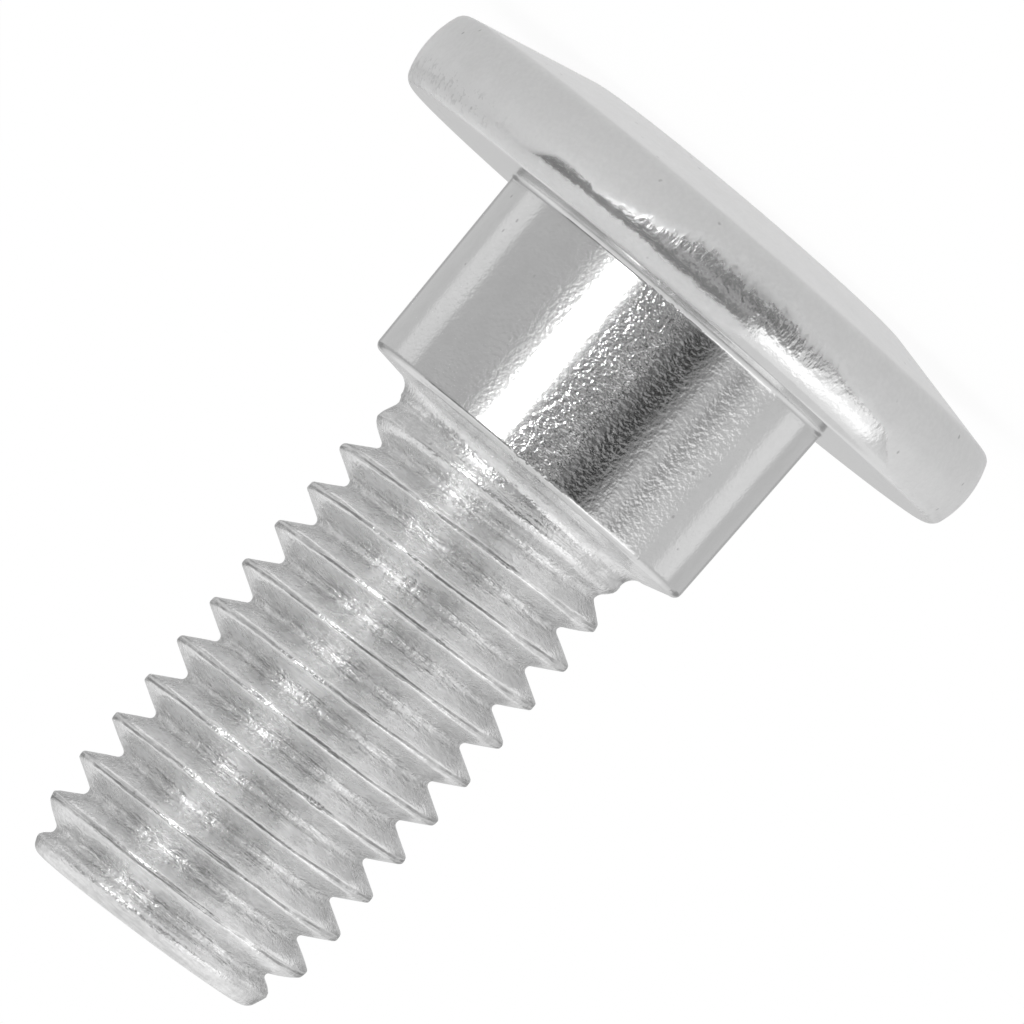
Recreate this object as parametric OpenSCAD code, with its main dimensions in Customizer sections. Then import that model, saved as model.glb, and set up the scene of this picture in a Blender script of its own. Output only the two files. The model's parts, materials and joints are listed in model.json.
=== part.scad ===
// Disc bolt: a wide flat head, a plain locating shoulder and a rolled thread, made as one piece.
// The bolt stands on its head: the seat under the head is at z = 0 and the thread points up.

/* [Head] */
// Diameter of the head at the fullest part of its rim
head_d = 17.6; // [16:0.1:22]
// Height of the rim, from the seat to the edge of the crown
rim_h = 2.2; // [1.6:0.1:3]
// Radius of the rim's convex side, seen in section
rim_curve_r = 2.6; // [1.8:0.1:5]
// Height of the conical crown beyond the rim
crown_h = 0.8; // [0.4:0.1:1.6]
// Diameter of the flat in the middle of the crown
crown_flat_d = 10.1; // [9:0.1:12]
// Rounding of the edge between the rim and the seat
seat_edge_r = 0.4; // [0.1:0.05:0.6]
// Rounding of the edge between the rim and the crown
crown_edge_r = 0.3; // [0.1:0.05:0.6]

/* [Drive socket] */
// Width of the hexagonal socket across its flats
socket_w = 6; // [4:0.5:6.5]
// Depth of the socket's flat walls, from the flat of the crown
socket_depth = 4.5; // [3:0.1:5]
// Width of the chamfer round the socket's corners
socket_chamfer = 0.25; // [0.1:0.05:0.6]
// Full angle of the cone at the bottom of the socket
socket_cone_angle = 120; // [90:5:150]

/* [Shoulder] */
// Diameter of the locating shoulder
shoulder_d = 10; // [9:0.1:14]
// Length of the shoulder, from the seat to its end face
shoulder_len = 5.5; // [4:0.1:12]
// Rounding of the edge at the end of the shoulder
shoulder_edge_r = 0.2; // [0.1:0.05:0.5]
// Fillet between the shoulder and the seat
seat_fillet_r = 0.15; // [0.05:0.05:0.4]

/* [Neck] */
// Diameter of the plain neck, which is the blank that the thread is rolled on
neck_d = 7.24; // [7:0.02:7.6]
// Length of the neck, from the end of the shoulder to the thread
neck_len = 0.6; // [0.6:0.05:3]
// Fillet between the neck and the end of the shoulder
neck_fillet_r = 0.4; // [0.1:0.05:0.55]

/* [Thread] */
// Diameter over the crests of the thread
thread_d = 7.86; // [7.7:0.02:8.2]
// Diameter at the bottom of the thread's roots
root_d = 6.3; // [6:0.02:6.7]
// Distance from one crest to the next
pitch = 1.25; // [1.1:0.05:1.5]
// Length of the threaded end, from the neck to the tip
thread_len = 14.2; // [8:0.05:40]
// Width of the crests, along the bolt
crest_w = 0.12; // [0.05:0.01:0.2]
// Rise of the rounded root from its bottom to the flanks
root_rise = 0.06; // [0.02:0.01:0.12]
// Turns over which the thread fades into the neck
run_out_turns = 1; // [0.5:0.1:2]
// Direction in which the thread begins, seen from the tip
thread_angle = 90; // [0:5:355]

/* [Tip] */
// Length over which the crests taper down to the tip
tip_taper_len = 1.5; // [0.8:0.1:3]
// Diameter that the taper reaches at the tip
tip_d = 6.6; // [6:0.02:7.4]
// Rounding of the edge of the tip
tip_edge_r = 0.3; // [0.1:0.05:0.6]
// Slant of the cropped end face
tip_slant = 3.5; // [0:0.5:5]

/* [Hidden] */
$fn = 96;

// Small overlap that cuts run past the faces they leave
past = 0.5;

head_h = rim_h + crown_h;
crown_flat_r = crown_flat_d / 2;
shoulder_r = shoulder_d / 2;
neck_r = neck_d / 2;
crest_r = thread_d / 2;
root_r = root_d / 2;
tip_r = tip_d / 2;
thread_z = shoulder_len + neck_len;
tip_z = thread_z + thread_len;

// Centre of the rim's curve, and the radius at which that curve meets the seat and the crown
rim_c = [head_d / 2 - rim_curve_r, -rim_h / 2];
rim_end_r = rim_c[0] + sqrt(rim_curve_r ^ 2 - (rim_h / 2) ^ 2);

// Centre of the rounded seat edge, which touches the seat and the rim's curve from inside
seat_edge_c = [
    rim_c[0] + sqrt((rim_curve_r - seat_edge_r) ^ 2 - (rim_h / 2 - seat_edge_r) ^ 2),
    -seat_edge_r
];

// Direction of the crown's slope from the rim to the flat, and its normal into the head
crown_run = [crown_flat_r - rim_end_r, -crown_h];
crown_dir = crown_run / norm(crown_run);
crown_in = [crown_dir[1], -crown_dir[0]];

// Centre of the rounded crown edge, which touches the crown and the rim's curve from inside
crown_edge_from = [rim_end_r, -rim_h] + crown_edge_r * crown_in - rim_c;
crown_edge_b = crown_edge_from * crown_dir;
crown_edge_reach = (rim_curve_r - crown_edge_r) ^ 2 - crown_edge_from * crown_edge_from;
crown_edge_along = -crown_edge_b - sqrt(crown_edge_b ^ 2 + crown_edge_reach);
crown_edge_c = rim_c + crown_edge_from + crown_edge_along * crown_dir;

// Socket across its corners
socket_corner_r = socket_w / 2 / cos(30);

// The thread grows from a blank that is a hair slimmer than the neck
blank_step = 0.04;
blank_r = neck_r - blank_step;
flank = tan(30);
thread_steps = 40;
lead_turns = 1.5;
thread_low = thread_z - lead_turns * pitch;

// One turn of the thread in section: distance along the bolt and radius of each edge
crest_from = (crest_r - blank_r) * flank;
crest_to = crest_from + crest_w;
root_side_r = root_r + root_rise;
root_from = crest_to + (crest_r - root_side_r) * flank;
root_to = pitch - (blank_r - root_side_r) * flank;
thread_edges = [
    [0, blank_r],
    [crest_from, crest_r],
    [crest_to, crest_r],
    [root_from, root_side_r],
    [(root_from + root_to) / 2, root_r],
    [root_to, root_side_r]
];
thread_rows = len(thread_edges);
thread_last = ceil((tip_z + pitch - thread_low) / pitch * thread_steps);

// Slope of the tip's taper, and the centre of the rounded tip edge
taper_angle = atan((crest_r - tip_r) / tip_taper_len);
taper_wide_r = crest_r + past;
tip_edge_c = [tip_r - tip_edge_r * (1 - sin(taper_angle)) / cos(taper_angle), -tip_edge_r];

// Share of the full thread depth after n steps of its helix
function thread_depth(n) = min(1, max(0, (n / thread_steps - lead_turns) / run_out_turns));

// Point on row j of the thread's section after n steps of its helix
function thread_point(n, j) =
    let (a = thread_angle + 360 * n / thread_steps)
    let (r = blank_r + thread_depth(n) * (thread_edges[j][1] - blank_r))
    [r * cos(a), r * sin(a), thread_low + pitch * n / thread_steps + thread_edges[j][0]];

// Number of that point in the list, where the row past the last is the first row of the next turn
function thread_at(n, j) =
    j == thread_rows ? thread_at(n + thread_steps, 0)
    : n <= thread_last ? n * thread_rows + j
    : thread_last * (thread_rows - 1) + thread_rows - 1 + n;

// Triangles that close a loop of points from a point on the axis
function fan(apex, loop) =
    [for (k = [0 : len(loop) - 1]) [apex, loop[k], loop[(k + 1) % len(loop)]]];

// Material in a square corner at the origin outside a rounding of radius r
module corner(r) {
    difference() {
        square(r);
        translate([r, r]) circle(r);
    }
}

// Half section of the head, with its convex rim and rounded edges
module head_section() {
    polygon([
        [0, 0],
        [seat_edge_c[0], 0],
        seat_edge_c,
        rim_c,
        crown_edge_c,
        crown_edge_c - crown_edge_r * crown_in,
        [crown_flat_r, -head_h],
        [0, -head_h]
    ]);
    translate(seat_edge_c) circle(seat_edge_r);
    translate(crown_edge_c) circle(crown_edge_r);
    intersection() {
        translate(rim_c) circle(rim_curve_r);
        polygon([rim_c, 2 * seat_edge_c - rim_c, [head_d, rim_c[1]], 2 * crown_edge_c - rim_c]);
    }
}

// Half section of the shoulder and the neck
module shank_section() {
    difference() {
        square([shoulder_r, shoulder_len]);
        translate([shoulder_r, shoulder_len]) rotate(180) corner(shoulder_edge_r);
    }
    translate([shoulder_r, 0]) corner(seat_fillet_r);
    square([neck_r, thread_z]);
    translate([neck_r, shoulder_len]) corner(neck_fillet_r);
}

// Half section of the space that the tip keeps to, from its end face down
module tip_section() {
    reach = tip_z - thread_low + pitch;
    polygon([
        [0, 0],
        [tip_edge_c[0], 0],
        tip_edge_c,
        tip_edge_c + tip_edge_r * [cos(taper_angle), sin(taper_angle)],
        [taper_wide_r, (tip_r - taper_wide_r) / tan(taper_angle)],
        [taper_wide_r, -reach],
        [0, -reach]
    ]);
    translate(tip_edge_c) circle(tip_edge_r);
}

// Helical thread, from inside the neck to past the tip
module helix() {
    low = thread_at(thread_last + thread_steps, 0) + 1;
    high = low + 1;
    points = [
        for (n = [0 : thread_last], j = [0 : thread_rows - 1]) thread_point(n, j),
        for (n = [thread_last + 1 : thread_last + thread_steps]) thread_point(n, 0),
        [0, 0, thread_low],
        [0, 0, thread_low + pitch * (1 + thread_last / thread_steps)]
    ];
    sides = [
        for (n = [0 : thread_last - 1], j = [0 : thread_rows - 1]) each [
            [thread_at(n, j), thread_at(n, j + 1), thread_at(n + 1, j + 1)],
            [thread_at(n, j), thread_at(n + 1, j + 1), thread_at(n + 1, j)]
        ]
    ];
    low_loop = [
        for (n = [0 : thread_steps]) thread_at(n, 0),
        for (j = [thread_rows - 1 : -1 : 1]) thread_at(0, j)
    ];
    high_loop = [
        for (j = [0 : thread_rows - 1]) thread_at(thread_last, j),
        for (n = [thread_last + thread_steps : -1 : thread_last + 1]) thread_at(n, 0)
    ];
    polyhedron(points, concat(sides, fan(low, low_loop), fan(high, high_loop)));
}

// Thread with its tapered, rounded and slightly slanted tip
module thread() {
    intersection() {
        helix();
        translate([0, 0, tip_z]) rotate([0, -tip_slant, 0]) rotate_extrude() tip_section();
    }
}

// Hexagonal socket for the key, open at the crown
module socket() {
    chamfer_r = socket_corner_r + socket_chamfer;
    cone_r = socket_w / 2;
    translate([0, 0, -head_h]) {
        translate([0, 0, -past]) cylinder(h = socket_depth + past, r = socket_corner_r, $fn = 6);
        translate([0, 0, socket_depth]) cylinder(h = cone_r / tan(socket_cone_angle / 2), r1 = cone_r, r2 = 0);
        translate([0, 0, -past]) cylinder(h = past + chamfer_r, r1 = chamfer_r + past, r2 = 0);
    }
}

module disc_bolt() {
    color("silver") {
        difference() {
            union() {
                rotate_extrude() head_section();
                rotate_extrude() shank_section();
                thread();
            }
            socket();
        }
    }
}

disc_bolt();
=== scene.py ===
"""Disc bolt in bright zinc plate, standing on its head with the thread pointing up.

Sizes are in millimetres in the bolt's own frame, where the seat under the head is at z = 0.
"""

import json
import math

import bpy
from mathutils import Matrix, Vector, noise


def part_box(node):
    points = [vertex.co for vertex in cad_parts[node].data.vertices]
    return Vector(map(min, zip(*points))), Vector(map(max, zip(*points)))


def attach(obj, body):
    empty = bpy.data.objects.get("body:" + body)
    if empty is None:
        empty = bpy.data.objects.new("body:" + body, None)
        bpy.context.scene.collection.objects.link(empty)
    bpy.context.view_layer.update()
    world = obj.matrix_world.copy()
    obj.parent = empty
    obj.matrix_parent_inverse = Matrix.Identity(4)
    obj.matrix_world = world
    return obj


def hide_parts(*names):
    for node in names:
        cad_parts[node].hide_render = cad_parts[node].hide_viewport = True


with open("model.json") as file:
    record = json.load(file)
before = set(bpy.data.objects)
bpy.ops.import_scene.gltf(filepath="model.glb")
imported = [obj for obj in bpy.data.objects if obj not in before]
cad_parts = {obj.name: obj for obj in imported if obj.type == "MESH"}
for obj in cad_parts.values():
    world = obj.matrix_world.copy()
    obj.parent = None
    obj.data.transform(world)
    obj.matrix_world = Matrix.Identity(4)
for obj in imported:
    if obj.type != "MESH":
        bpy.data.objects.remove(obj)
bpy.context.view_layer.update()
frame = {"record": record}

MM = 0.001
bolt_low, bolt_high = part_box("disc_bolt")
mounts = {mount["name"]: mount for mount in frame["record"]["mounts"]}

# Head
head_r = -bolt_low.x / MM
crown_z = bolt_low.z / MM
rim_h = 2.2
rim_curve_r = 2.6
crown_flat_r = 5.05
crown_flat_edge_r = 0.3
crown_edge_r = 0.3
seat_edge_r = 0.4

# Drive socket
socket_flat_r = 3.0
socket_depth = 4.5
socket_chamfer = 0.25
socket_cone_angle = 120
# Width of the land between the drilled cone and the flats
socket_land = 0.002

# Shoulder and neck
shoulder_r = mounts["shoulder"]["dims"]["r_mm"]
shoulder_end_r = 4.91
shoulder_len = 5.5
shoulder_edge_r = 0.2
# Slope of the end face in degrees: its mean, and how much it differs between the two sides
end_slope = 12
end_slope_uneven = 4.4
seat_fillet_r = 0.15
neck_r = 3.62
neck_fillet_r = 0.4
neck_z = shoulder_len + neck_fillet_r

# Thread
crest_r = 3.93
root_r = 3.15
pitch = 1.25
flank_angle = 60
crest_flat = 0.06
crest_round_r = 0.1
root_round_r = 0.15
# Height of a crest on the side that faces +X
crest_z = 6.67
# Heights between which the crests and the roots grow out of the neck
crest_growth = (5.9, 8.0)
root_growth = (5.95, 7.85)

# Marks that rolling left on the thread: how deep they are, and how close together
root_wander = 0.09
root_wander_scale = 0.45
crest_wander = 0.05
crest_wander_scale = 1.1
crest_wander_start = Vector((7, 3, 0))
# Waves of the seam about the middle of the crest: size, waves in a turn, shift with height and start
seam_waves = [(0.034, 1, 0.0, 1.57), (0.012, 4, 1.7, 0.0), (0.008, 11, -2.9, 1.3)]

# Tip
tip_z = 20.299
tip_r = 3.3
tip_taper_len = 1.5
tip_edge_r = 0.3
tip_blend = 0.3
tip_slant = 3.5
# Depth below the end face over which the thread's rows turn to its slant
tip_turn_depth = 1

# Fineness of the mesh
steps_round = 216
arc_steps = 8
crest_steps = 3
flank_steps = 4
edge_hold = 0.03
# Rings on the end face, as shares of its edge's radius
end_face_shares = (0.97, 0.6, 0.25)


def smooth(low, high, x):
    """Rises from 0 at low to 1 at high with level ends."""
    t = min(1, max(0, (x - low) / (high - low)))
    return t * t * (3 - 2 * t)


def smooth_min(a, b, width):
    """The lesser of two values, rounded over where they cross."""
    near = max(width - abs(a - b), 0) / width
    return min(a, b) - near * near * width / 4


def arc(centre, radius, start, end, steps=arc_steps):
    """Points on an arc in section, with its angles in degrees."""
    angles = [math.radians(start + (end - start) * k / steps) for k in range(steps + 1)]
    return [(centre[0] + radius * math.cos(a), centre[1] + radius * math.sin(a)) for a in angles]


def straight(start, end, hold=edge_hold):
    """Two points just inside a straight stretch, which keep it flat where roundings meet it."""
    a = Vector(start)
    b = Vector(end)
    inset = (b - a).normalized() * hold
    return [tuple(a + inset), tuple(b - inset)]


class Skin:
    """Points and faces of one closed surface, laid round the bolt's axis."""

    def __init__(self):
        self.points = []
        self.faces = []

    def point(self, r, angle, z):
        self.points.append((r * math.cos(angle), r * math.sin(angle), z))
        return len(self.points) - 1

    def ring(self, r_at, z_at):
        """A loop of points whose radius and height are functions of the angle."""
        return [self.point(r_at(a), a, z_at(a)) for a in ring_angles]

    def circle(self, r, z):
        return self.ring(lambda a: r, lambda a: z)

    def band(self, first, second):
        """Quads between two rings."""
        for k in range(steps_round):
            n = (k + 1) % steps_round
            self.faces.append((first[k], first[n], second[n], second[k]))

    def bands(self, rings):
        for first, second in zip(rings, rings[1:]):
            self.band(first, second)

    def close(self, ring, apex, ends_here):
        """A fan between a ring and one point, which either starts or ends the surface."""
        for k in range(steps_round):
            n = (k + 1) % steps_round
            self.faces.append((ring[k], ring[n], apex) if ends_here else (apex, ring[n], ring[k]))

    def zip_columns(self, left, right, key_shift):
        """Faces between two neighbouring columns of keyed points, where like keys lie side by side."""
        a = 0
        b = 0
        past_all = (math.inf, 0)
        while a + 1 < len(left) or b + 1 < len(right):
            next_a = left[a + 1][0] if a + 1 < len(left) else past_all
            next_b = past_all
            if b + 1 < len(right):
                family, row = right[b + 1][0]
                next_b = (family, row + key_shift if family == helix_rows else row)
            corners = [left[a][1], right[b][1]]
            if next_b <= next_a:
                b += 1
                corners.append(right[b][1])
            if next_a <= next_b:
                a += 1
                corners.append(left[a][1])
            self.faces.append(tuple(corners))


ring_angles = [2 * math.pi * k / steps_round for k in range(steps_round)]


def socket_rings(skin):
    """The drive socket, from the point of its drilled cone out to its mouth in the crown."""
    floor_z = crown_z + socket_depth
    point_z = floor_z + socket_flat_r / math.tan(math.radians(socket_cone_angle / 2))
    mouth_r = socket_flat_r / math.cos(math.radians(30)) + socket_chamfer

    def hexagon(angle):
        across = math.degrees(angle) % 60 - 30
        return socket_flat_r / math.cos(math.radians(across))

    def chamfer_z(angle):
        return crown_z + mouth_r - hexagon(angle)

    cone_point = skin.point(0, 0, point_z)
    half_way = skin.circle(socket_flat_r / 2, (floor_z + point_z) / 2)
    cone_edge = skin.circle(socket_flat_r, floor_z)
    floor_edge = skin.ring(lambda a: hexagon(a) + socket_land, lambda a: floor_z)
    wall_top = skin.ring(hexagon, chamfer_z)
    mouth = skin.circle(mouth_r, crown_z)
    skin.close(half_way, cone_point, False)
    rings = [half_way, cone_edge, floor_edge, wall_top, mouth]
    skin.bands(rings)
    return mouth, mouth_r


def head_and_shank_section(mouth_r):
    """Section of the outside in (radius, height) points, from the socket's mouth to the neck."""
    rim_c = Vector((head_r - rim_curve_r, -rim_h / 2))
    rim_end = Vector((rim_c.x + math.sqrt(rim_curve_r**2 - (rim_h / 2) ** 2), -rim_h))
    seat_edge_x = math.sqrt((rim_curve_r - seat_edge_r) ** 2 - (rim_h / 2 - seat_edge_r) ** 2)
    seat_edge_c = rim_c + Vector((seat_edge_x, rim_h / 2 - seat_edge_r))

    flat_end = Vector((crown_flat_r, crown_z))
    crown_dir = (flat_end - rim_end).normalized()
    crown_in = Vector((crown_dir.y, -crown_dir.x))
    from_rim = rim_end + crown_edge_r * crown_in - rim_c
    along = from_rim.dot(crown_dir)
    reach = (rim_curve_r - crown_edge_r) ** 2 - from_rim.dot(from_rim)
    crown_edge_c = rim_c + from_rim - (along + math.sqrt(along**2 + reach)) * crown_dir

    def bearing(direction):
        return math.degrees(math.atan2(direction.y, direction.x))

    crown_slope = bearing(-crown_in)
    rim_low = bearing(crown_edge_c - rim_c)
    rim_high = bearing(seat_edge_c - rim_c)
    flat_turn = crown_flat_edge_r * math.tan(math.radians((crown_slope + 90) / 2))
    flat_edge_c = flat_end + Vector((-flat_turn, crown_flat_edge_r))
    shoulder_top = shoulder_len - shoulder_edge_r

    flat_edge = arc(flat_edge_c, crown_flat_edge_r, -90, crown_slope, 4)
    crown_edge = arc(crown_edge_c, crown_edge_r, crown_slope, rim_low)
    rim = arc(rim_c, rim_curve_r, rim_low, rim_high, 16)[1:-1]
    seat_edge = arc(seat_edge_c, seat_edge_r, rim_high, 90)
    seat_fillet = arc((shoulder_r + seat_fillet_r, seat_fillet_r), seat_fillet_r, -90, -180, 6)
    end_edge = arc((shoulder_end_r - shoulder_edge_r, shoulder_top), shoulder_edge_r, 0, 90)
    neck_fillet = arc((neck_r + neck_fillet_r, neck_z), neck_fillet_r, -90, -180)

    section = straight((mouth_r, crown_z), flat_edge[0])
    section += flat_edge + straight(flat_edge[-1], crown_edge[0])
    section += crown_edge + rim
    section += seat_edge + straight(seat_edge[-1], seat_fillet[0])
    section += seat_fillet + straight(seat_fillet[-1], end_edge[0])
    section += end_edge + straight(end_edge[-1], neck_fillet[0])
    section += neck_fillet
    return section


def end_slope_rise(angle, r):
    """Rise of the shoulder's end face from its outer edge towards the neck."""
    slope = math.radians(end_slope - end_slope_uneven * math.cos(angle))
    face_r = shoulder_end_r - shoulder_edge_r
    reach = face_r - neck_r - neck_fillet_r
    return math.tan(slope) * max(0, min(face_r - r, reach))


def thread_section():
    """Places of the thread's rows across one pitch, as offsets from the middle of the crest."""
    turn = [math.radians(flank_angle) * k / crest_steps for k in range(crest_steps + 1)]
    edge = [crest_flat / 2 + crest_round_r * math.sin(a) for a in turn]
    flat = [crest_flat / 2 * k / crest_steps for k in range(crest_steps)]
    root_turn = [math.radians(flank_angle) * (2 * k / arc_steps - 1) for k in range(arc_steps + 1)]
    root = [pitch / 2 + root_round_r * math.sin(a) for a in root_turn]
    flank = root[0] - edge[-1]
    falling = [edge[-1] + flank * k / flank_steps for k in range(1, flank_steps)]
    side = flat + edge + falling
    rising = [pitch - w for w in reversed(side[1:])]
    return side + root + rising


def thread_form(offset):
    """Radius of the full thread at an offset along the bolt from its crest."""
    w = abs(offset)
    lean = math.radians(flank_angle)
    crest_half = crest_flat / 2 + crest_round_r * math.sin(lean)
    root_half = root_round_r * math.sin(lean)
    if w < crest_flat / 2:
        return crest_r
    if w < crest_half:
        return crest_r - crest_round_r + math.sqrt(crest_round_r**2 - (w - crest_flat / 2) ** 2)
    if w > pitch / 2 - root_half:
        return root_r + root_round_r - math.sqrt(root_round_r**2 - (pitch / 2 - w) ** 2)
    return crest_r - crest_round_r * (1 - math.cos(lean)) - (w - crest_half) * math.tan(lean)


tip_rise = math.tan(math.radians(tip_slant))
taper_angle = math.atan((crest_r - tip_r) / tip_taper_len)
tip_edge_c = tip_r - tip_edge_r * (1 - math.sin(taper_angle)) / math.cos(taper_angle)
# Radius at which heights near the slanted tip are reckoned
tip_mean_r = 3.5


def tip_limit(below_end):
    """Radius that the tip keeps within at a depth below its end face."""
    if below_end > tip_edge_r * (1 - math.sin(taper_angle)):
        return tip_r + below_end * math.tan(taper_angle)
    return tip_edge_c + math.sqrt(max(0, tip_edge_r**2 - (tip_edge_r - below_end) ** 2))


def end_face_z(angle, r=tip_mean_r):
    return tip_z + tip_rise * r * math.cos(angle)


def rolling_marks(angle, z, offset):
    """Uneven depth that rolling left in the roots and along the crests."""
    spot = Vector((crest_r * math.cos(angle), crest_r * math.sin(angle), z))
    in_root = smooth(pitch / 4, pitch / 2, abs(offset))
    on_crest = 1 - smooth(crest_flat / 2, crest_flat / 2 + crest_round_r, abs(offset))
    uneven = root_wander * in_root * noise.noise(spot * root_wander_scale)
    along_crest = noise.noise(spot * crest_wander_scale + crest_wander_start)
    return uneven + crest_wander * on_crest * along_crest


def thread_radius(angle, z):
    """Radius of the threaded end at an angle and a height."""
    turns = (z - crest_z) / pitch - angle / (2 * math.pi)
    offset = (turns - round(turns)) * pitch
    rise = thread_form(offset) - neck_r
    rise += rolling_marks(angle, z, offset)
    if rise > 0:
        r = neck_r + rise * smooth(*crest_growth, z)
    else:
        low, high = root_growth
        left = 1 - min(1, max(0, (z - low) / (high - low)))
        r = neck_r + rise * (1 - left * left)
    return smooth_min(r, tip_limit(end_face_z(angle) - z), tip_blend)


# Families of rows in a column of the thread, from the neck to the rounded edge of the tip
neck_rows, helix_rows, edge_rows = range(3)


def thread_columns(skin, neck_ring):
    """Columns of keyed points from the neck ring to the edge of the end face."""
    offsets = thread_section()
    rows = len(offsets)
    edge_turn = math.pi / 2 - taper_angle
    edge_angles = [taper_angle + edge_turn * k / arc_steps for k in range(arc_steps + 1)]
    edge_depths = [tip_edge_r * (1 - math.sin(a)) for a in edge_angles]
    columns = []
    for angle, neck_point in zip(ring_angles, neck_ring):
        column = [((neck_rows, 0), neck_point)]
        end_z = end_face_z(angle)
        turn_z = crest_z + pitch * angle / (2 * math.pi)
        start_z = neck_z + end_slope_rise(angle, neck_r) + edge_hold
        first = math.floor((neck_z - turn_z) / pitch) - 1
        last = math.ceil((end_z - turn_z) / pitch) + 1
        for row in range(first * rows, last * rows):
            z = turn_z + pitch * (row // rows) + offsets[row % rows]
            below_end = end_z - z
            if z > start_z and below_end > edge_depths[0] + edge_hold:
                r = thread_radius(angle, z)
                slant = tip_rise * (r - tip_mean_r) * math.cos(angle)
                slant *= 1 - smooth(0, tip_turn_depth, below_end)
                column.append(((helix_rows, row), skin.point(r, angle, z + slant)))
        for row, depth in enumerate(edge_depths):
            r = min(thread_radius(angle, end_z - depth), tip_limit(depth))
            column.append(((edge_rows, row), skin.point(r, angle, end_face_z(angle, r) - depth)))
        columns.append(column)
    for k in range(steps_round - 1):
        skin.zip_columns(columns[k], columns[k + 1], 0)
    skin.zip_columns(columns[-1], columns[0], -rows)
    return columns


def end_face(skin, columns):
    """The cropped end face, from its rounded edge to its middle."""
    edge = [column[-1][1] for column in columns]
    rings = [edge]
    for share in end_face_shares:
        ring = []
        for angle, index in zip(ring_angles, edge):
            x, y, _ = skin.points[index]
            r = math.hypot(x, y) * share
            ring.append(skin.point(r, angle, end_face_z(angle, r)))
        rings.append(ring)
    skin.bands(rings)
    skin.close(rings[-1], skin.point(0, 0, tip_z), True)


def disc_bolt_mesh():
    skin = Skin()
    mouth, mouth_r = socket_rings(skin)
    rings = [mouth]
    for r, z in head_and_shank_section(mouth_r):
        if z < shoulder_len / 2:
            rings.append(skin.circle(r, z))
        else:
            rings.append(skin.ring(lambda a: r, lambda a: z + end_slope_rise(a, r)))
    skin.bands(rings)
    columns = thread_columns(skin, rings[-1])
    end_face(skin, columns)
    mesh = bpy.data.meshes.new("disc_bolt")
    mesh.from_pydata([[c * MM for c in p] for p in skin.points], [], skin.faces)
    mesh.shade_smooth()
    mesh.update()
    return mesh


class Value:
    """A shader socket that Python arithmetic can work on, where each step adds a Math node."""

    def __init__(self, tree, socket):
        self.tree = tree
        self.socket = socket

    def math(self, operation, *values):
        return self.tree.node("Math", {"operation": operation}, dict(enumerate(values)))

    def out(self, name):
        """Another output of the same node."""
        return Value(self.tree, self.socket.node.outputs[name])

    def __add__(self, other):
        return self.math("ADD", self, other)

    def __sub__(self, other):
        return self.math("SUBTRACT", self, other)

    def __rsub__(self, other):
        return self.math("SUBTRACT", other, self)

    def __mul__(self, other):
        return self.math("MULTIPLY", self, other)

    def __truediv__(self, other):
        return self.math("DIVIDE", self, other)

    __radd__ = __add__
    __rmul__ = __mul__


class NodeTree:
    """The shader nodes of one material or of the world."""

    def __init__(self, owner):
        owner.use_nodes = True
        self.tree = owner.node_tree
        self.tree.nodes.clear()

    def node(self, kind, settings=None, inputs=None, output=0):
        """Makes a node: its settings come first, then the values or links of its sockets."""
        made = self.tree.nodes.new("ShaderNode" + kind)
        for name, value in (settings or {}).items():
            setattr(made, name, value)
        for name, value in (inputs or {}).items():
            if isinstance(value, Value):
                self.tree.links.new(value.socket, made.inputs[name])
            else:
                made.inputs[name].default_value = value
        return Value(self, made.outputs[output]) if made.outputs else None

    def ramp(self, value, low, high):
        """0 below low, 1 above high, and a smooth rise between them."""
        return self.node(
            "MapRange",
            {"interpolation_type": "SMOOTHSTEP"},
            {"Value": value, "From Min": low, "From Max": high},
        )

    def band(self, value, low, high, soft):
        """1 between low and high, with soft edges."""
        half = soft / 2
        risen = self.ramp(value, low - half, low + half)
        return risen * (1 - self.ramp(value, high - half, high + half))


# Roughness of each part of the plating, and what polish takes off it on the crests and in the roots
shoulder_rough = 0.15
rim_rough = 0.17
rim_rough_rise = 0.08
satin_rough = 0.56
thread_rough = 0.27
crest_polish = 0.06
root_polish = 0.01

# Depths of the marks in the plating
pit_depth = 0.042
thread_pit_depth = 0.02
root_streak_depth = 0.045
flank_streak_depth = 0.008
scuff_depth = 0.03
stroke_depth = 0.03
seam_depth = 0.01

# How pitted the shoulder is: in all, and what zones across it add, each with its ends and their softness
pitted_all = 0.08
pitted_zones = [
    (-0.06, 0.95, 1.65, 0.3),
    (0.1, -1.8, -0.8, 0.3),
    (0.85, -0.6, 0.65, 0.4),
    (0.06, -3.9, -1.8, 0.4),
    (0.12, 1.8, 2.4, 0.3),
]

# Height of the edge of the rim's polish, and how much higher the polished patch goes
polish_edge_z = -0.74
patch_height = 0.95

# Tone of the plating, what the satin parts add to it, how much darker the rim gets towards the crown's
# edge, how much painted shade darkens the crest seam, and how much darker pinholes and scars are
plate_tone = 0.76
thread_tone = 0.08
satin_tone = 0.085
rim_shade = 0.06
# Painted shade in the groove of the crest seam
seam_painted_shade = 0.5
pinhole_shade = 0.25
scar_shade = 0.14


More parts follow.
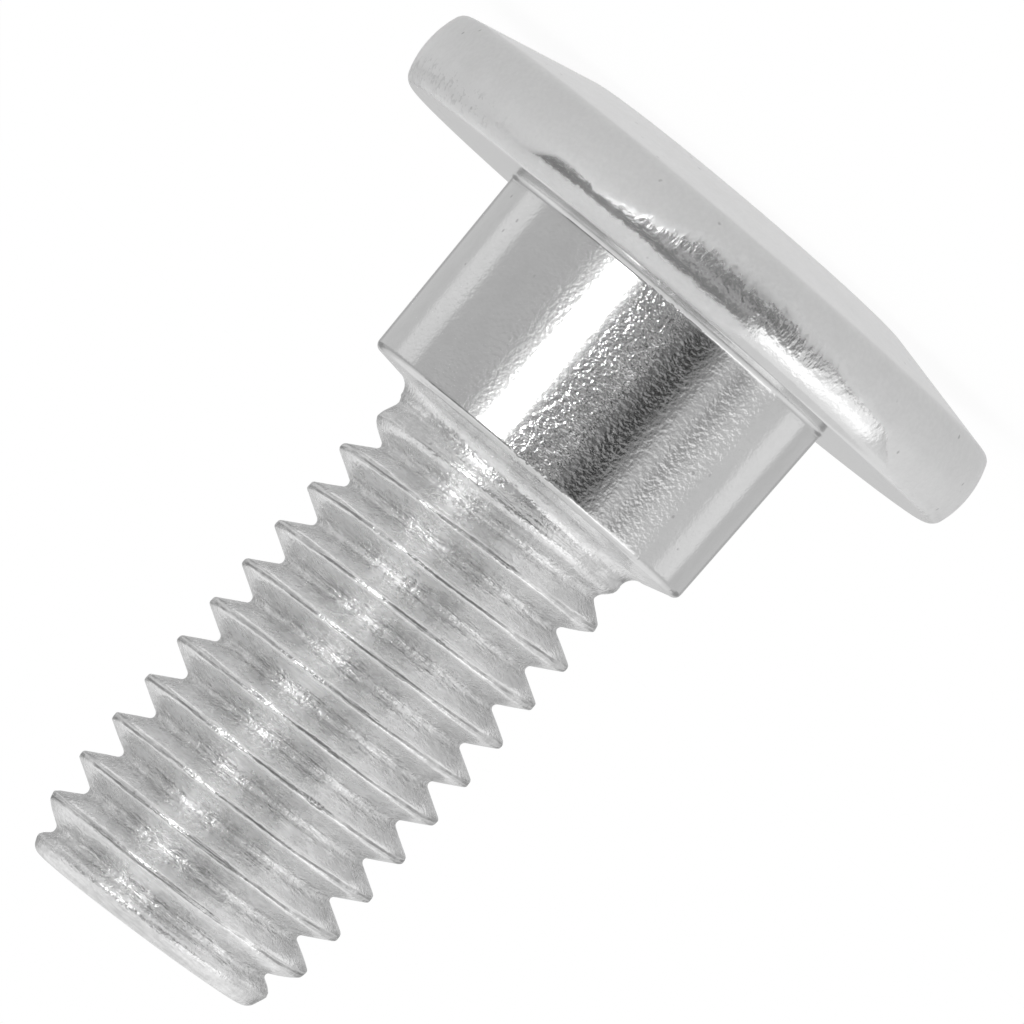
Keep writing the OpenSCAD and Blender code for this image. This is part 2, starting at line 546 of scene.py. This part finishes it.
def zinc_plate():
    """Bright zinc plating: bright and pitted on the shoulder, satin on the crown, rim and thread."""
    material = bpy.data.materials.new("zinc_plate")
    t = NodeTree(material)
    where = t.node("TexCoord", output="Object")
    mm = t.node("VectorMath", {"operation": "SCALE"}, {0: where, "Scale": 1 / MM})
    x = t.node("SeparateXYZ", {}, {0: mm}, "X")
    y = x.out("Y")
    z = x.out("Z")
    angle = x.math("ARCTAN2", y, x)

    def stretched(across, along):
        """Places with one scale across the bolt and another along it."""
        return t.node("VectorMath", {"operation": "MULTIPLY"}, {0: mm, 1: (across, across, along)})

    def grain(scale, detail=2.0, roughness=0.5, vector=mm):
        """Noise about zero, with a scale in features to the millimetre."""
        settings = {"Vector": vector, "Scale": scale, "Detail": detail, "Roughness": roughness}
        return t.node("TexNoise", {}, settings) - 0.5

    blotch = grain(0.9, 3.0)
    mottle = grain(3.0, 2.0)
    fine = grain(9.0, 2.0)

    on_thread = t.ramp(z, shoulder_len - 0.1, shoulder_len + 0.2)
    on_head = 1 - t.ramp(z, -0.15, 0.05)
    on_shoulder = (1 - on_thread) * (1 - on_head)

    # Place across one pitch of the thread, from the seam on the crest to the root
    turns = (z - crest_z) / pitch - angle / (2 * math.pi)
    offset = (turns.math("FRACT", turns + 0.5) - 0.5) * pitch
    from_crest = offset.math("ABSOLUTE", offset)
    seam_at = sum(
        angle.math("SINE", angle * waves + z * drift + start) * size
        for size, waves, drift, start in seam_waves
    )
    from_seam = offset.math("ABSOLUTE", offset - seam_at + fine * 0.02)
    crest = on_thread * (1 - t.ramp(from_crest, 0.08, 0.16))
    root = t.ramp(z, *root_growth) * t.ramp(from_crest, 0.3, 0.5)
    below_end = tip_z + tip_rise * x - z

    # The rim is polished beside the seat, and further up in one place, and satin towards the crown
    patch = 0.8 * t.ramp(x, 3.0, -0.4) * t.ramp(x, -6.2, -1.6)
    polish_z = patch * -patch_height + polish_edge_z
    polish_z = polish_z + 0.35 * t.ramp(x, 4.0, 5.4) - 0.2 * t.band(x, -6.4, -3.5, 1.0)
    polish_z = polish_z + 0.5 * t.ramp(x, -5.9, -6.7)
    strokes = grain(5.0, 2.0, 0.6, stretched(1.0, 0.5))
    ragged = z + blotch * 0.3 + (mottle * 0.4 + fine * 0.5 + strokes * 0.7) * (0.25 + 0.75 * patch)
    scuffed = t.ramp(x + blotch * 2, -2.3, -1.0) + t.ramp(x, -6.4, -7.0)
    scuffed = scuffed * t.band(z + mottle * 0.35 + fine * 0.12, -0.44, -0.05, 0.2)
    soft_half = 0.14 + 0.16 * patch
    satin = t.ramp(ragged, polish_z + soft_half, polish_z - soft_half)
    satin = satin.math("MAXIMUM", satin, scuffed * 0.8)
    head_rough = rim_rough + rim_rough_rise * t.ramp(z, -0.75, -1.15) + satin_rough * satin
    rough = on_shoulder * shoulder_rough + on_head * head_rough
    rough = rough + on_thread * thread_rough - crest * crest_polish - root * root_polish
    rough = rough + (blotch * 0.16 + mottle * 0.12) * (on_thread + on_head * satin) + fine * 0.06

    # Pits in the plating, deepest along one side of the shoulder
    pitted = pitted_all + sum(t.band(x, *ends) * share for share, *ends in pitted_zones)
    pitted = pitted * (1 + blotch * 1.5 + mottle * 1.5)
    pits = grain(9.5, 1.0, 0.5, stretched(0.85, 1.0))
    depth = on_shoulder * pitted * pit_depth + on_head * (0.004 - 0.003 * satin)
    height = pits * (depth + (on_thread - crest) * thread_pit_depth)

    # Streaks along the helix that the rolling dies left, strongest in the roots, and grain on the flanks
    streaks = grain(2.2, 2.0, 0.5, stretched(1.0, 8.0))
    height = height + streaks * (root * root_streak_depth + on_thread * flank_streak_depth)
    height = height + mottle * scuffed * scuff_depth
    height = height + strokes * on_head * (1 - satin) * t.ramp(z, -0.6, -0.9) * stroke_depth
    height = height + fine * (on_thread * 0.014 + root * 0.016 + on_head * 0.002 + scuffed * 0.015)

    # Seam along the crests, a groove in the bump with painted shade in its tone, and pinholes in the
    # plating
    seam_w = 0.04 + mottle * 0.08
    seam = t.ramp(z, *crest_growth) * t.ramp(below_end, 0.7, 1.1) * t.ramp(blotch, -0.15, 0.1)
    seam = seam * (1 - t.ramp(from_seam, seam_w * 0.5, seam_w))
    height = height - seam * seam_depth
    normal = t.node("Bump", {}, {"Height": height, "Strength": 1.0, "Distance": MM})
    hole = t.node("TexVoronoi", {}, {"Vector": mm, "Scale": 1.2}, "Distance")
    pinhole = 1 - t.ramp(hole + fine * 0.1, 0.03, 0.08)

    # Tone: lighter where it is satin, darker towards the crown's edge, streaked on the thread, with
    # painted shade along the crest seam
    tone = plate_tone + on_thread * thread_tone + on_head * satin * (satin_tone + fine * 0.08)
    tone = tone + blotch * 0.08 + mottle * 0.06
    tone = tone - rim_shade * t.ramp(z + mottle * 0.04, -2.3, -2.2) * t.ramp(z, -0.6, -2.2)
    tone = tone + (mottle * 0.22 + fine * 0.12 + streaks * 0.3) * on_thread + streaks * root * 0.4
    scars = t.ramp(x, 5.0, 7.0) * t.band(z, -0.8, -0.1, 0.3) * t.ramp(mottle + fine, 0.02, 0.2)
    # Painted shade darkens the crest seam; pinholes and scars are darker in their own colour
    tone = tone * (1 - seam_painted_shade * seam) * (1 - pinhole_shade * pinhole) * (1 - scar_shade * scars)
    shader = t.node(
        "BsdfPrincipled",
        {},
        {"Base Color": tone, "Metallic": 1.0, "Roughness": rough, "Normal": normal},
    )
    t.node("OutputMaterial", {}, {"Surface": shader})
    return material


# Half width of the floor in metres, its drop below the crown, and its share of plain white to the camera
floor_half = 1.5
floor_drop = 0.005
floor_glow = 0.92


def floor_white():
    """Plain white floor, nearly as bright as the backdrop where the camera sees it."""
    material = bpy.data.materials.new("floor_white")
    t = NodeTree(material)
    matt = t.node("BsdfDiffuse", {}, {"Color": (1, 1, 1, 1)})
    bright = t.node("Emission", {}, {"Color": (1, 1, 1, 1), "Strength": 1.0})
    seen = t.node("LightPath", output="Is Camera Ray")
    shader = t.node("MixShader", {}, {0: seen * floor_glow, 1: matt, 2: bright})
    t.node("OutputMaterial", {}, {"Surface": shader})
    return material


# Softness of the ends of the tent's panels and of its rows, in degrees
panel_soft = 4.0
row_soft = 3.0
# The bright strip: its heights, its side angles, the softness of its sides and its level
strip_heights = (-7, 5)
strip_sides = (-38, -24.5)
strip_soft = 3.0
strip_level = 7


def light_tent():
    """White light all round, with the tent's bright and dark panels where the metal mirrors it."""
    world = bpy.data.worlds.new("light_tent")
    bpy.context.scene.world = world
    world.cycles.sampling_method = "NONE"
    t = NodeTree(world)
    direction = t.node("TexCoord", output="Generated")
    x = t.node("SeparateXYZ", {}, {0: direction}, "X")
    y = x.out("Y")
    z = x.out("Z")
    degree = 180 / math.pi
    side = x.math("ARCTAN2", 0 - x, 0 - y) * degree
    height = z.math("ARCSINE", z) * degree

    # Rows of the tent's panels from below to overhead, each panel from one side angle to another
    rows = [
        (-99, -26, [(-190, -110, 0.92), (-110, 110, 0.76), (110, 190, 0.92)]),
        (-26, -9, [
            (-190, -170, 0.62),
            (-170, -150, 0.30),
            (-150, -88, 0.52),
            (-88, -48, 0.60),
            (-48, -25, 0.78),
            (-25, 42, 0.60),
            (42, 88, 0.95),
            (88, 150, 0.60),
            (150, 170, 0.30),
            (170, 190, 0.62),
        ]),
        (-9, 2, [
            (-190, -170, 0.62),
            (-170, -162, 0.40),
            (-162, -126, 0.62),
            (-126, -104, 0.82),
            (-104, -48, 0.54),
            (-48, -38, 0.72),
            (-38, -25, 0.90),
            (-25, -12, 0.54),
            (-12, 0, 0.22),
            (0, 12, 0.10),
            (12, 22, 0.13),
            (22, 36, 0.01),
            (36, 46, 0.24),
            (46, 58, 0.47),
            (58, 66, 0.29),
            (66, 74, 0.46),
            (74, 89, 0.58),
            (89, 106, 0.66),
            (106, 128, 0.86),
            (128, 162, 0.58),
            (162, 170, 0.40),
            (170, 190, 0.62),
        ]),
        (2, 14, [
            (-190, -170, 0.62),
            (-170, -150, 0.30),
            (-150, -88, 0.48),
            (-88, -50, 0.45),
            (-50, -25, 0.95),
            (-25, 22, 0.44),
            (22, 44, 0.30),
            (44, 60, 0.85),
            (60, 88, 1.10),
            (88, 150, 0.60),
            (150, 170, 0.30),
            (170, 190, 0.62),
        ]),
        (14, 20, [(-190, -88, 0.66), (-88, 27, 0.20), (27, 88, 1.50), (88, 190, 0.72)]),
        (20, 26, [(-190, -88, 0.72), (-88, 27, 0.20), (27, 60, 1.50), (60, 88, 1.10), (88, 190, 0.78)]),
        (26, 45, [(-190, -50, 0.88), (-50, 20, 0.90), (20, 88, 0.92), (88, 190, 0.88)]),
        (45, 99, [(-190, 190, 0.76)]),
    ]
    level = 0
    for low, high, panels in rows:
        row = sum(t.band(side, start, end, panel_soft) * value for start, end, value in panels)
        level = t.band(height, low, high, row_soft) * row + level
    strip = t.band(height, *strip_heights, row_soft) * t.band(side, *strip_sides, strip_soft)
    level = level + strip * strip_level
    mirrored = t.node("LightPath", output="Is Glossy Ray")
    shade = mirrored * level + (1 - mirrored)
    light = t.node("Background", {}, {"Color": shade, "Strength": 1.0})
    t.node("OutputWorld", {}, {"Surface": light})


def place(name, mesh, material):
    piece = bpy.data.objects.new(name, mesh)
    bpy.context.scene.collection.objects.link(piece)
    mesh.materials.append(material)
    return piece


def make_floor():
    """The floor, a hair below the crown so that the two surfaces don't lie in one plane."""
    half = floor_half
    z = (crown_z - floor_drop) * MM
    mesh = bpy.data.meshes.new("floor")
    corners = [(-half, -half, z), (half, -half, z), (half, half, z), (-half, half, z)]
    mesh.from_pydata(corners, [], [(0, 1, 2, 3)])
    floor = place("floor", mesh, floor_white())
    floor.visible_glossy = False


# Camera: its lean, the point it looks at, where it stands, and the focal length and width of its film
camera_lean = 40.25
camera_aim = Vector((-0.373, 0, 6.436))
camera_spot = Vector((-0.373, -250, 9.4))
focal_length = 353.7
film_width = 36
nearest_view = 0.01


def make_camera():
    """A long lens square to the bolt, rolled so that the head is at the upper right."""
    lean = math.radians(camera_lean)
    aim = camera_aim * MM
    spot = camera_spot * MM
    back = (spot - aim).normalized()
    to_head = Vector((0, 0, -1))
    to_head = (to_head - to_head.dot(back) * back).normalized()
    across = to_head.cross(back)
    right = math.sin(lean) * to_head + math.cos(lean) * across
    up = math.cos(lean) * to_head - math.sin(lean) * across
    lens = bpy.data.cameras.new("camera")
    lens.sensor_width = film_width
    lens.lens = focal_length
    lens.clip_start = nearest_view
    camera = bpy.data.objects.new("camera", lens)
    turn = Matrix((right, up, back)).transposed().to_4x4()
    camera.matrix_world = Matrix.Translation(spot) @ turn
    bpy.context.scene.collection.objects.link(camera)
    bpy.context.scene.camera = camera


bolt = place("disc_bolt_plated", disc_bolt_mesh(), zinc_plate())
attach(bolt, "root")
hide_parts("disc_bolt")
make_floor()
make_camera()
light_tent()
bpy.context.scene.view_settings.view_transform = "Standard"
